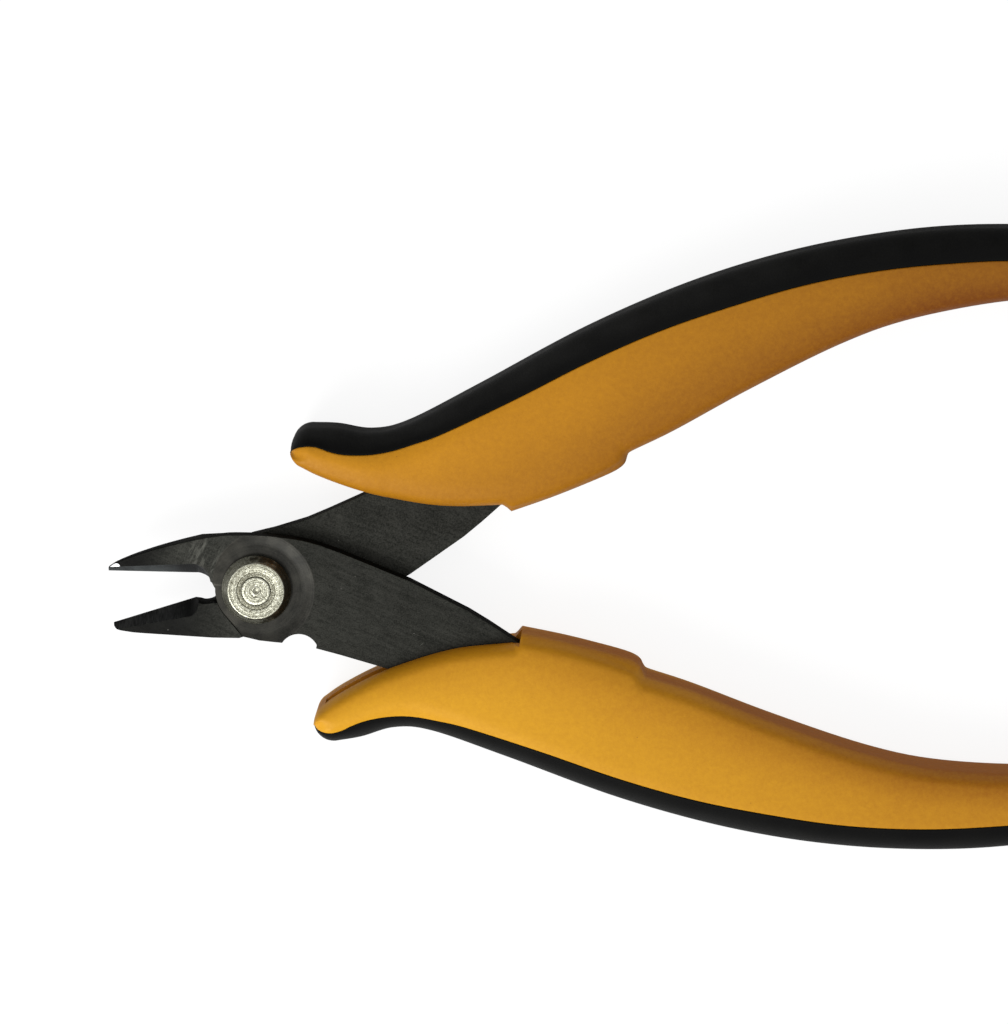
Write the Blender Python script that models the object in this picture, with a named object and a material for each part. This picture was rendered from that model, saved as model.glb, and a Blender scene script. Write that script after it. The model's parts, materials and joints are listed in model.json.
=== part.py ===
"""Flush cutter: two steel halves on a hollow pivot, each with a moulded grip, and a return spring.

Everything is drawn in millimetres round the pivot: +X runs along the tool towards the handles,
+Y towards the upper handle and +Z out of the face with the pivot's turned head. Points go to
metres, and to the model's own origin, in one place, new_object. The two halves share one design:
each is drawn with its jaw above the X axis, its arm and grip below it and its plate in front, and
the back half is then turned over about the X axis.
"""

import math

import bmesh
import bpy
from mathutils import Vector

MM = 0.001

# Driving dimensions, in millimetres
TIP_REACH = 17.44  # pivot to jaw tips
HANDLE_REACH = 120.5  # pivot to the ends of the handles
GRIP_HALF = 5.5  # half of the grips' thickness
PLATE_FRONT = 2.0  # outer face of a plate, from the mid-plane between the two
PLATE_BACK = 0.05  # inner face of a plate
JAW_TIP_HALF = 0.6  # half of the jaws' thickness at their tips
TAPER_START = -1.0  # X where the plates begin to thin towards the tips
DISH_RADIUS = 6.5
DISH_FLOOR = 1.65
BORE_RADIUS = 2.55
HUB_RADIUS = 4.95
RELIEF_RADIUS = 5.05  # round recess in each jaw that the other half's hub turns in
HUB_TANGENT = math.radians(145.0)  # where the hub's round edge runs out into a straight one
RELIEF_SWEEP = math.radians(22.0)  # how far a jaw's recess stops short of the X axis, for the closing turn

# Each jaw, drawn above the X axis: cutting edge from tip to root, throat, where the throat of its
# full-thickness part ends, back edge to the hub, and the heel where its full thickness ends
FRONT_JAW = {
    "edge_tip": (-TIP_REACH, 2.93),
    "edge_root": (-7.6, 1.84),
    "throat": [(-6.6, 1.78), (-5.7, 1.3)],
    "relieved_throat": [(-6.6, 1.78), (-5.7, 1.3)],
    "back": [(-17.3, 3.55), (-16.2, 3.97), (-13.5, 4.85), (-11.1, 5.42), (-8.7, 6.0), (-6.2, 6.4)],
    "hub_top": [(-4.3, 6.62), (-2.6, 6.7)],
    "heel": (-3.2, 6.3),
    "notched": True,
}
BACK_JAW = {
    "edge_tip": (-17.3, 3.32),
    "edge_root": (-7.6, 1.12),
    "throat": [(-6.6, 1.2), (-5.6, 0.8)],
    "relieved_throat": [(-6.6, 1.2), (-5.95, 0.94)],
    "back": [(-17.4, 3.85), (-16.9, 4.22), (-14.6, 4.53), (-9.9, 5.07), (-5.7, 5.55)],
    "hub_top": [(-3.0, 5.78), (-1.5, 6.15)],
    "heel": (-2.6, 5.75),
    "notched": False,
}
BEVEL_WIDTH = 1.64  # how far the bevel's upper border stands back from the edge, at the root

# Hub and arm, common to both halves
HUB_TOP = [(0.5, 6.45), (3.3, 6.05), (5.8, 5.5), (8.0, 4.75)]
ARM_INNER = [(10.2, 3.75), (18.1, -0.2), (24.8, -4.3), (27.0, -5.9), (30.2, -8.4)]
TANG_INNER = [(38.0, -12.6), (50.0, -19.0), (62.0, -24.0), (74.0, -27.6), (82.0, -29.0)]
TANG_OUTER = [(82.0, -31.5), (74.0, -30.9), (62.0, -28.6), (50.0, -25.4), (36.0, -20.2), (24.0, -14.6)]
ARM_OUTER = [(14.4, -10.5), (9.2, -8.55), (6.42, -7.58)]
NOTCH_CENTRE = (4.35, -8.05)
NOTCH_RADIUS = 2.35
HUB_BOTTOM = [(2.46, -6.64), (-0.2, -6.2)]
HUB_CORNER_REACH = 3.4  # length of the hub's straight edge

# Grip, drawn above the X axis and then mirrored below it
GUARD_CENTRE = (7.9, 16.5)
GUARD_RADIUS = 2.4
END_RADIUS = 5.0
END_CENTRE = (HANDLE_REACH - END_RADIUS, 27.0)
GRIP_OUTER = [(7.9, 18.9), (11.0, 18.6), (15.0, 17.75), (19.4, 18.5), (28.0, 22.25), (41.2, 28.25)]
GRIP_OUTER += [(54.2, 32.8), (66.9, 35.65), (80.0, 36.95), (92.0, 36.6), (104.0, 34.9), (116.4, 31.9)]
GRIP_INNER = [(6.25, 14.75), (8.5, 13.3), (12.3, 11.5), (16.5, 10.05), (22.7, 8.65), (29.8, 8.35)]
LUMP = [(30.6, 7.5), (35.5, 8.7), (39.8, 10.1), (43.2, 11.8), (45.0, 13.2), (46.4, 14.0)]
GRIP_INNER_REAR = [(50.8, 15.9), (59.5, 20.0), (70.4, 24.6), (78.9, 27.0), (90.0, 28.3), (97.0, 27.7)]
GRIP_INNER_REAR += [(105.0, 25.6), (114.0, 22.2)]
OVERLAY_EDGE = [(5.4, 17.2), (7.0, 17.1), (10.0, 16.5), (15.0, 15.75), (19.4, 16.4), (23.7, 17.7)]
OVERLAY_EDGE += [(32.4, 21.2), (41.1, 24.95), (49.6, 28.05), (58.0, 30.35), (66.6, 32.25), (75.0, 33.3)]
OVERLAY_EDGE += [(83.2, 33.6), (92.0, 33.3), (104.0, 31.5), (113.0, 29.2), (120.5, 26.8)]
INNER_ROUND = 2.6  # rounding of the grip's inner long edges
OUTER_ROUND = 4.2
END_ROUND = 3.0  # rounding of the guard's tip and the handle's end, seen from the side
OVERLAY_GAP = 0.1
SLOT_GAP = 0.15
MIN_SECTION = 0.7  # least width of a section, at the two ends
MIN_STRIP = 0.3  # least width of the strip between the core's flat part and the overlay

# Pivot, turned parts on the Z axis
SLEEVE_RADIUS = 2.5
HEAD_RADIUS = 4.1
HEAD_TOP = 3.0
HEAD_FACE = 3.28
SLEEVE_END = -4.05
PIN_RADIUS = 1.15
PIN_BORE = 1.22
PIN_HEAD = 1.7
PIN_GAP = 0.08
WASHER_RADIUS = 4.4
WASHER_THICK = 0.5
PEEN_RADIUS = 2.3
PEEN_END = -5.2

# Return spring
WIRE = 0.7
COIL_RADIUS = 3.6
LEG_HOLE = (14.6, 8.8)  # where a leg hooks into its plate, on the side of its arm
LEG_HOLE_RADIUS = 0.55
LEG_HOLE_DEPTH = 1.4
UPPER_LEG_Z = -2.45
LOWER_LEG_Z = -3.65

CENTRE_X = (HANDLE_REACH - TIP_REACH) / 2.0


def new_object(name, points, faces, material, turned_over=False):
    """A mesh object from points in millimetres round the pivot; turned over about X for the back half."""
    sign = -1.0 if turned_over else 1.0
    mesh = bpy.data.meshes.new(name)
    placed = [((x - CENTRE_X) * MM, sign * y * MM, (sign * z + GRIP_HALF) * MM) for x, y, z in points]
    mesh.from_pydata(placed, [], faces)
    obj = bpy.data.objects.new(name, mesh)
    bpy.context.scene.collection.objects.link(obj)
    outward(mesh)
    if material:
        mesh.materials.append(material)
    return obj


def outward(mesh):
    bm = bmesh.new()
    bm.from_mesh(mesh)
    bmesh.ops.recalc_face_normals(bm, faces=bm.faces)
    bm.to_mesh(mesh)
    bm.free()


def make_material(name, colour, roughness, metallic):
    material = bpy.data.materials.new(name)
    material.use_nodes = True
    shader = material.node_tree.nodes["Principled BSDF"]
    shader.inputs["Base Color"].default_value = (*colour, 1.0)
    shader.inputs["Roughness"].default_value = roughness
    shader.inputs["Metallic"].default_value = metallic
    material.diffuse_color = (*colour, 1.0)
    return material


def prism(name, outline, low, high, material=None, turned_over=False):
    count = len(outline)
    points = [(x, y, low) for x, y in outline] + [(x, y, high) for x, y in outline]
    faces = [tuple(range(count))[::-1], tuple(range(count, 2 * count))]
    for i in range(count):
        j = (i + 1) % count
        faces.append((i, j, count + j, count + i))
    return new_object(name, points, faces, material, turned_over)


def turned(name, profile, material=None, segments=48):
    """A closed body turned round Z from a closed loop of (radius, z); on the axis the radius is 0."""
    points = []
    rings = []
    for radius, z in profile:
        if radius == 0.0:
            rings.append([len(points)] * segments)
            points.append((0.0, 0.0, z))
            continue
        rings.append(list(range(len(points), len(points) + segments)))
        for k in range(segments):
            angle = 2.0 * math.pi * k / segments
            points.append((radius * math.cos(angle), radius * math.sin(angle), z))
    faces = []
    for a, b in zip(rings, rings[1:] + rings[:1]):
        for k in range(segments):
            m = (k + 1) % segments
            corners = list(dict.fromkeys((a[k], a[m], b[m], b[k])))
            if len(corners) > 2:
                faces.append(tuple(corners))
    return new_object(name, points, faces, material)


def wedge(name, points, turned_over):
    """A convex cutter round its corner points."""
    obj = new_object(name, points, [], None, turned_over)
    bm = bmesh.new()
    bm.from_mesh(obj.data)
    bmesh.ops.convex_hull(bm, input=bm.verts)
    bmesh.ops.recalc_face_normals(bm, faces=bm.faces)
    bm.to_mesh(obj.data)
    bm.free()
    return obj


def apply_boolean(obj, other, operation):
    """Joins or cuts with other at once, and removes it."""
    modifier = obj.modifiers.new(operation.lower(), "BOOLEAN")
    modifier.operation = operation
    modifier.solver = "EXACT"
    modifier.object = other
    bpy.context.view_layer.update()
    evaluated = obj.evaluated_get(bpy.context.evaluated_depsgraph_get())
    mesh = bpy.data.meshes.new_from_object(evaluated)
    obj.modifiers.clear()
    old = obj.data
    obj.data = mesh
    mesh.name = old.name
    bpy.data.meshes.remove(old)
    bpy.data.objects.remove(other)


def arc(centre, radius, start, end, steps):
    """Points on an arc between two angles in radians, both ends in."""
    angles = [start + (end - start) * k / steps for k in range(steps + 1)]
    return [(centre[0] + radius * math.cos(a), centre[1] + radius * math.sin(a)) for a in angles]


def smooth(knots, steps):
    """A Catmull-Rom curve through the knots, with the same number of steps in each span."""
    ends = [Vector(knots[0]) * 2 - Vector(knots[1]), Vector(knots[-1]) * 2 - Vector(knots[-2])]
    path = [ends[0]] + [Vector(k) for k in knots] + [ends[1]]
    points = []
    for a, b, c, d in zip(path, path[1:], path[2:], path[3:]):
        for k in range(steps):
            t = k / steps
            p = 2 * b + (c - a) * t + (2 * a - 5 * b + 4 * c - d) * t**2 + (3 * b - 3 * c + d - a) * t**3
            points.append(tuple(p * 0.5))
    points.append(tuple(knots[-1]))
    return points


def offset(points, distance):
    """An open line of points moved to its left by a distance."""
    moved = []
    for i, point in enumerate(points):
        before = Vector(points[max(i - 1, 0)])
        after = Vector(points[min(i + 1, len(points) - 1)])
        along = (after - before).normalized()
        moved.append((point[0] - along.y * distance, point[1] + along.x * distance))
    return moved


def height_on(points, x):
    """Y at x on a line of points whose x rises."""
    for (x0, y0), (x1, y1) in zip(points, points[1:]):
        if x <= x1:
            return y0 + (y1 - y0) * (x - x0) / (x1 - x0)
    return points[-1][1]


# ---- steel halves ----


def hub_edge(radius, stand_off, end):
    """The hub's lower left edge: straight from its corner, then round about the pivot to the end angle."""
    start = -HUB_TANGENT
    leave = (radius * math.cos(start), radius * math.sin(start))
    along = (math.sin(start) * -1.0, math.cos(start))
    corner = (leave[0] + along[0] * HUB_CORNER_REACH, leave[1] + along[1] * HUB_CORNER_REACH)
    shift = (stand_off * math.cos(start), stand_off * math.sin(start))
    straight = [(corner[0] + shift[0], corner[1] + shift[1])]
    return straight + arc((0.0, 0.0), radius + stand_off, start, end, 12)


def notch():
    start = math.atan2(ARM_OUTER[-1][1] - NOTCH_CENTRE[1], ARM_OUTER[-1][0] - NOTCH_CENTRE[0])
    end = math.atan2(HUB_BOTTOM[0][1] - NOTCH_CENTRE[1], HUB_BOTTOM[0][0] - NOTCH_CENTRE[0])
    return arc(NOTCH_CENTRE, NOTCH_RADIUS, start, end, 7)[1:-1]


def tang_outline(grow):
    """Inner edge, end and outer edge of the part of the arm that the grip holds."""
    inner = offset(smooth([ARM_INNER[-1]] + TANG_INNER, 3), grow)
    outer = offset(smooth(TANG_OUTER + [ARM_OUTER[0]], 3), grow)
    middle = ((inner[-1][0] + outer[0][0]) / 2.0, (inner[-1][1] + outer[0][1]) / 2.0)
    radius = (inner[-1][1] - outer[0][1]) / 2.0
    end = arc(middle, radius, math.radians(80.0), math.radians(-80.0), 6)
    return inner, end, outer


def plate_outline(jaw):
    """The whole half seen from the front, from the cutting edge's tip round by the back of the jaw."""
    inner, end, outer = tang_outline(0.0)
    top = smooth(jaw["back"] + jaw["hub_top"] + HUB_TOP, 2)
    bottom = ARM_OUTER[1:] + (notch() if jaw["notched"] else []) + HUB_BOTTOM
    throat = jaw["throat"][::-1]
    outline = [jaw["edge_tip"]] + top + ARM_INNER[:-1] + inner + end + outer + bottom
    return outline + hub_edge(HUB_RADIUS, 0.0, -math.pi) + throat + [jaw["edge_root"]]


def jaw_outline(jaw):
    """The full-thickness part of a jaw, clear of the other half's hub and throat as they turn past."""
    relief = hub_edge(HUB_RADIUS, RELIEF_RADIUS - HUB_RADIUS, RELIEF_SWEEP - math.pi)
    recess = [(x, -y) for x, y in relief]
    top = smooth(jaw["back"], 2) + [jaw["heel"]]
    throat = jaw["relieved_throat"][::-1]
    return [jaw["edge_tip"]] + top + recess + throat + [jaw["edge_root"]]


def jaw_half(x):
    """Half of the thickness left by the taper at x."""
    slope = (PLATE_FRONT - JAW_TIP_HALF) / (TIP_REACH + TAPER_START)
    return JAW_TIP_HALF + slope * (x + TIP_REACH)


def taper_cutter(name, side, turned_over):
    """Thins one face of a jaw towards the tip; side is 1 for the half's own front."""
    far = -TIP_REACH - 3.0
    points = []
    for y in (-3.0, 10.0):
        points.append((TAPER_START, y, side * PLATE_FRONT))
        points.append((far, y, side * jaw_half(far)))
        points.append((far, y, side * (PLATE_FRONT + 2.0)))
        points.append((TAPER_START, y, side * (PLATE_FRONT + 2.0)))
    return wedge(name, points, turned_over)


def bevel_cutter(name, jaw, side, turned_over):
    """Grinds the bevel along the cutting edge; side says which face of the jaw it opens to."""
    tip = jaw["edge_tip"]
    root = jaw["edge_root"]
    slope = (root[1] - tip[1]) / (root[0] - tip[0])
    lean = BEVEL_WIDTH / (2.0 * jaw_half(root[0]))
    points = []
    for x in (tip[0] - 2.0, root[0]):
        y = tip[1] + slope * (x - tip[0])
        half = jaw_half(x)
        for z in (-half, half + 1.0):
            run = 0.0 if x == root[0] else -1.0
            points.append((x + run, y + lean * (z + half), side * z))
            points.append((x + run, y - 3.0, side * z))
    return wedge(name, points, turned_over)


def leg_hole(from_front):
    """Outline, floor and mouth of the blind hole that takes a spring leg."""
    circle = arc((LEG_HOLE[0], -LEG_HOLE[1]), LEG_HOLE_RADIUS, 0.0, 2.0 * math.pi, 16)[:-1]
    if from_front:
        return circle, PLATE_FRONT - LEG_HOLE_DEPTH, PLATE_FRONT + 1.0
    return circle, PLATE_BACK - 1.0, PLATE_BACK + LEG_HOLE_DEPTH


def make_blade(name, jaw, bevel_side, material, turned_over):
    blade = prism(name, plate_outline(jaw), PLATE_BACK, PLATE_FRONT, material, turned_over)
    block = prism(name + "_block", jaw_outline(jaw), -PLATE_FRONT, PLATE_BACK + 0.6, None, turned_over)
    apply_boolean(blade, block, "UNION")
    cuts = [taper_cutter(name + "_taper", side, turned_over) for side in (1, -1)]
    cuts.append(bevel_cutter(name + "_bevel", jaw, bevel_side, turned_over))
    dish = arc((0.0, 0.0), DISH_RADIUS, 0.0, 2.0 * math.pi, 48)[:-1]
    cuts.append(prism(name + "_dish", dish, DISH_FLOOR, PLATE_FRONT + 1.0, None, turned_over))
    bore = arc((0.0, 0.0), BORE_RADIUS, 0.0, 2.0 * math.pi, 48)[:-1]
    cuts.append(prism(name + "_bore", bore, -1.0, PLATE_FRONT + 1.0, None, turned_over))
    circle, low, high = leg_hole(turned_over)
    cuts.append(prism(name + "_leg_hole", circle, low, high, None, turned_over))
    for cutter in cuts:
        apply_boolean(blade, cutter, "DIFFERENCE")
    return blade


# ---- grips ----


def end_arcs():
    """Angles at which the guard's tip and the handle's end run into the long edges."""
    guard_low = math.atan2(GRIP_INNER[0][1] - GUARD_CENTRE[1], GRIP_INNER[0][0] - GUARD_CENTRE[0])
    end_high = math.atan2(GRIP_OUTER[-1][1] - END_CENTRE[1], GRIP_OUTER[-1][0] - END_CENTRE[0])
    end_low = math.atan2(GRIP_INNER_REAR[-1][1] - END_CENTRE[1], GRIP_INNER_REAR[-1][0] - END_CENTRE[0])
    return guard_low, end_high, end_low


def grip_edges():
    """The grip's outer and inner edges as lines of points from the guard's tip to the handle's end."""
    guard_low, end_high, end_low = end_arcs()
    guard_top = arc(GUARD_CENTRE, GUARD_RADIUS, math.pi, math.pi / 2.0, 8)
    guard_bottom = arc(GUARD_CENTRE, GUARD_RADIUS, math.pi, guard_low + 2.0 * math.pi, 6)
    outer = guard_top[:-1] + smooth(GRIP_OUTER, 6)[:-1] + arc(END_CENTRE, END_RADIUS, end_high, 0.0, 8)
    front = guard_bottom[:-1] + smooth(GRIP_INNER, 6)
    lump = smooth(LUMP, 3)
    rear = smooth([LUMP[-1]] + GRIP_INNER_REAR, 6)[1:-1] + arc(END_CENTRE, END_RADIUS, end_low, 0.0, 8)
    return outer, front + lump + rear


def stations():
    """X of each section: close together at the ends and at the lump's first step."""
    guard = [GUARD_CENTRE[0] - GUARD_RADIUS * math.cos(math.radians(a)) for a in (14, 35, 55, 75)]
    front = [9.5 + 2.5 * k for k in range(9)]
    lump = [GRIP_INNER[-1][0], LUMP[0][0], 33.5, 37.0, 40.5, 43.2, 45.0, 46.4]
    rear = [50.0 + 4.8 * k for k in range(14)]
    end = [END_CENTRE[0] + END_RADIUS * math.sin(math.radians(a)) for a in (8, 25, 42, 60, 77)]
    return guard + front + lump + rear + end


def half_thickness(x):
    """Half of the grip's thickness at x, rounded off at both ends."""
    near = min(x - (GUARD_CENTRE[0] - GUARD_RADIUS), HANDLE_REACH - x)
    if near >= END_ROUND:
        return GRIP_HALF
    return GRIP_HALF - END_ROUND + math.sqrt(END_ROUND**2 - (END_ROUND - near) ** 2)


def section_half(y, low, high, half):
    """Half of a section's thickness at y, between its inner edge low and its outer edge high."""
    share = (high - low) / (INNER_ROUND + OUTER_ROUND)
    inner_round = min(INNER_ROUND, INNER_ROUND * share, half)
    outer_round = min(OUTER_ROUND, OUTER_ROUND * share, half)
    into = max(0.0, low + inner_round - y)
    out = max(0.0, y - high + outer_round)
    inner = half - inner_round + math.sqrt(max(inner_round**2 - into**2, 0.0))
    outer = half - outer_round + math.sqrt(max(outer_round**2 - out**2, 0.0))
    return min(inner, outer)


def section_ys(start, stop, round_low, round_high, steps):
    """Y values across a section, close together in its rounded corners."""
    values = []
    if round_low:
        values += [start + round_low * (1.0 - math.cos(math.pi / 2.0 * k / steps)) for k in range(steps)]
        start += round_low
    values.append(start)
    if round_high:
        values.append(stop - round_high)
        values += [stop - round_high * (1.0 - math.sin(math.pi / 2.0 * k / steps)) for k in range(1, steps)]
    values.append(stop)
    return values


def core_ys(low, high, border):
    """Y values across the orange core: its rounded inner edge, its flat part and a strip to the overlay."""
    ys = section_ys(low, border, min(INNER_ROUND, (border - low) / 2.0), 0.0, 4)
    flat_end = min(high - OUTER_ROUND, border - MIN_STRIP)
    ys.insert(-1, max(flat_end, (ys[-2] + border) / 2.0))
    return ys


def loft(name, sections, material, turned_over):
    """A closed body through rings of the same number of points."""
    size = len(sections[0])
    points = [point for ring in sections for point in ring]
    faces = [tuple(range(size)), tuple(range(len(points) - size, len(points)))]
    for row in range(len(sections) - 1):
        for k in range(size):
            m = (k + 1) % size
            a = row * size
            faces.append((a + k, a + m, a + size + m, a + size + k))
    return new_object(name, points, faces, material, turned_over)


def grip_sections(part):
    """Rings of the orange core or of the black overlay, in planes across X."""
    outer, inner = grip_edges()
    border = smooth(OVERLAY_EDGE, 3)
    rings = []
    for x in stations():
        low = height_on(inner, x)
        high = height_on(outer, x)
        split = height_on(border, x)
        split = min(max(split, low + MIN_SECTION), high - MIN_SECTION)
        half = half_thickness(x)
        if part == "core":
            ys = core_ys(low, high, split - OVERLAY_GAP / 2.0)
        else:
            ys = section_ys(split + OVERLAY_GAP / 2.0, high, 0.0, (high - split) * 0.85, 4)
        profile = [(y, section_half(y, low, high, half)) for y in ys]
        ring = [(x, -y, z) for y, z in profile] + [(x, -y, -z) for y, z in reversed(profile)]
        rings.append(ring)
    return rings


def slot_outline():
    """The space that the arm takes in the grip, open towards the jaws."""
    inner, end, outer = tang_outline(SLOT_GAP)
    mouth_inner = offset(ARM_INNER, SLOT_GAP)[:-1]
    mouth_outer = offset(ARM_OUTER[:2], SLOT_GAP)
    return mouth_inner + inner + end + outer + mouth_outer[1:]


def make_grip(name, material, turned_over):
    grip = loft(name, grip_sections("core"), material, turned_over)
    low = PLATE_BACK - SLOT_GAP
    high = PLATE_FRONT + SLOT_GAP
    slot = prism(name + "_slot", slot_outline(), low, high, None, turned_over)
    apply_boolean(grip, slot, "DIFFERENCE")
    return grip


# ---- pivot and spring ----


def make_pivot(material, pin_material, washer_material):
    floor = DISH_FLOOR + PLATE_BACK
    pocket = HEAD_TOP - 0.7
    sleeve = [
        (PIN_BORE, SLEEVE_END),
        (SLEEVE_RADIUS, SLEEVE_END),
        (SLEEVE_RADIUS, floor),
        (HEAD_RADIUS, floor),
        (HEAD_RADIUS, floor + 0.6),
        (HEAD_FACE, HEAD_TOP),
        (2.3, HEAD_TOP),
        (2.2, HEAD_TOP - 0.15),
        (PIN_HEAD + PIN_GAP, HEAD_TOP - 0.15),
        (PIN_HEAD + PIN_GAP, pocket),
        (PIN_BORE, pocket),
    ]
    turned("pivot_sleeve", sleeve, material)
    washer_top = SLEEVE_END - PIN_GAP
    washer_bottom = washer_top - WASHER_THICK
    pin = [
        (0.0, PEEN_END),
        (PEEN_RADIUS - 0.3, PEEN_END),
        (PEEN_RADIUS, PEEN_END + 0.2),
        (PEEN_RADIUS, washer_bottom - PIN_GAP),
        (PIN_RADIUS, washer_bottom - PIN_GAP),
        (PIN_RADIUS, pocket + PIN_GAP),
        (PIN_HEAD, pocket + PIN_GAP),
        (PIN_HEAD, HEAD_TOP - 0.1),
        (PIN_HEAD - 0.1, HEAD_TOP),
        (0.4, HEAD_TOP),
        (0.0, HEAD_TOP - 0.15),
    ]
    turned("pivot_pin", pin, pin_material)
    washer = [
        (PIN_BORE, washer_bottom),
        (WASHER_RADIUS, washer_bottom),
        (WASHER_RADIUS, washer_top),
        (PIN_BORE, washer_top),
    ]
    turned("spring_washer", washer, washer_material)


def spring_path():
    """The wire's centre line: hook, leg, coil round the sleeve, leg, hook."""
    reach = math.hypot(*LEG_HOLE)
    lean = math.atan2(LEG_HOLE[1], LEG_HOLE[0])
    tangent = lean + math.acos(COIL_RADIUS / reach)
    turn = 2.0 * math.pi + 2.0 * (math.pi - tangent)
    steps = 34
    upper_end = (LEG_HOLE[0], LEG_HOLE[1])
    coil = []
    for k in range(steps + 1):
        share = k / steps
        angle = tangent + turn * share
        z = UPPER_LEG_Z + (LOWER_LEG_Z - UPPER_LEG_Z) * share
        coil.append((COIL_RADIUS * math.cos(angle), COIL_RADIUS * math.sin(angle), z))
    upper = hook(upper_end, UPPER_LEG_Z, -PLATE_FRONT + LEG_HOLE_DEPTH - 0.15, coil[0])
    lower = hook((LEG_HOLE[0], -LEG_HOLE[1]), LOWER_LEG_Z, PLATE_BACK + LEG_HOLE_DEPTH - 0.15, coil[-1])
    return upper + coil + lower[::-1]


def hook(place, leg_z, end_z, towards):
    """The bent end of a leg: up out of the hole's floor and round into the leg, bent on a small arc."""
    bend = 0.8
    along = (Vector(towards[:2]) - Vector(place)).normalized()
    points = [(place[0], place[1], end_z)]
    for k in range(5):
        angle = math.pi / 2.0 * k / 4
        run = bend * (1.0 - math.cos(angle))
        drop = bend * (1.0 - math.sin(angle))
        points.append((place[0] + along.x * run, place[1] + along.y * run, leg_z + drop))
    return points


def make_spring(material):
    path = spring_path()
    curve = bpy.data.curves.new("return_spring", "CURVE")
    curve.dimensions = "3D"
    curve.bevel_depth = WIRE / 2.0 * MM
    curve.bevel_resolution = 2
    curve.use_fill_caps = True
    line = curve.splines.new("POLY")
    line.points.add(len(path) - 1)
    for point, (x, y, z) in zip(line.points, path):
        point.co = ((x - CENTRE_X) * MM, y * MM, (z + GRIP_HALF) * MM, 1.0)
    curve.materials.append(material)
    obj = bpy.data.objects.new("return_spring", curve)
    bpy.context.scene.collection.objects.link(obj)


def overlay(name, material, turned_over):
    loft(name, grip_sections("overlay"), material, turned_over)


def smooth_round_faces():
    for obj in bpy.context.scene.objects:
        if obj.type == "MESH":
            obj.data.shade_smooth()
            obj.data.set_sharp_from_angle(angle=math.radians(30.0))


def main():
    for obj in list(bpy.data.objects):
        bpy.data.objects.remove(obj, do_unlink=True)
    steel = make_material("black_steel", (0.045, 0.045, 0.042), 0.42, 0.9)
    bright = make_material("turned_steel", (0.62, 0.60, 0.54), 0.3, 1.0)
    wire = make_material("spring_steel", (0.30, 0.30, 0.30), 0.3, 1.0)
    orange = make_material("orange_grip", (0.80, 0.36, 0.03), 0.45, 0.0)
    black = make_material("black_overlay", (0.012, 0.012, 0.013), 0.6, 0.0)
    make_blade("front_blade", FRONT_JAW, 1, steel, False)
    make_blade("back_blade", BACK_JAW, -1, steel, True)
    make_grip("lower_grip_core", orange, False)
    make_grip("upper_grip_core", orange, True)
    overlay("lower_grip_overlay", black, False)
    overlay("upper_grip_overlay", black, True)
    make_pivot(bright, bright, wire)
    make_spring(wire)
    smooth_round_faces()


main()
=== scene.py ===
"""Looks of the flush cutter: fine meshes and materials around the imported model.

Everything is drawn in millimetres round the pivot, as the solids are: +X runs along the tool towards
the handles, +Y towards the upper handle and +Z out of the face with the pivot's turned head. The two
halves share one design, drawn with the jaw above the X axis and the arm and grip below it; the back
half is turned over about the X axis.
"""

import json
import math

import bmesh
import bpy
import numpy as np
from mathutils import Matrix, Vector


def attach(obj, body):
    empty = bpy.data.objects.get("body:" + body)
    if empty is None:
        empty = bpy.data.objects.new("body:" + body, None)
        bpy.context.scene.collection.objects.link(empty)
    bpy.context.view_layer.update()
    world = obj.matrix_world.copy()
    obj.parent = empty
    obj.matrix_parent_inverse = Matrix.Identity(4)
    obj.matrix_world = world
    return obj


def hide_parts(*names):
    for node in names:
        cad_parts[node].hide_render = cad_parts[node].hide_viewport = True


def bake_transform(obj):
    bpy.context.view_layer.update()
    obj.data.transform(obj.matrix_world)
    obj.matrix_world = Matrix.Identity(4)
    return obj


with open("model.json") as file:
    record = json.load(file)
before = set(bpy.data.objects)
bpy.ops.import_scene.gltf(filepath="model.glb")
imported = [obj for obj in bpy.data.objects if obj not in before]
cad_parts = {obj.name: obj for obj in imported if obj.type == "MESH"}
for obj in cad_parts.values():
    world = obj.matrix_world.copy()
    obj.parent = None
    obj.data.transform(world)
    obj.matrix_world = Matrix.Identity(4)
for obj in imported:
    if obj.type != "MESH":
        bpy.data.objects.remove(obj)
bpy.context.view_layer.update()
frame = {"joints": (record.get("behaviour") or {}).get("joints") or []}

PIVOT = Vector(frame["joints"][0]["pos_m"])
MM = 0.001

# ---- dimensions, in millimetres ----

TIP_REACH = 17.6
HANDLE_REACH = 120.5
GRIP_HALF = 5.5
PLATE_FRONT = 2.0
PLATE_BACK = 0.05
JAW_TIP_HALF = 0.6
TAPER_START = -1.0
PAST_PLATE = PLATE_FRONT + 1.0  # where the cutters end, clear of the plate
DISH_RADIUS = 6.5
DISH_FLOOR = 1.65
DISH_RISE = 1.8  # width of the dish's soft wall
BORE_RADIUS = 2.55
HUB_RADIUS = 4.95
RELIEF_RADIUS = 4.98  # the jaw's round recess that the other half's hub turns in
HUB_TANGENT = math.radians(145.0)  # where the hub's round edge runs out into a straight one
RELIEF_SWEEP = math.radians(16.0)  # how far the recess stops short, to leave room when closed
EDGE_BREAK = 0.045  # rounding of the steel's long edges

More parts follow.
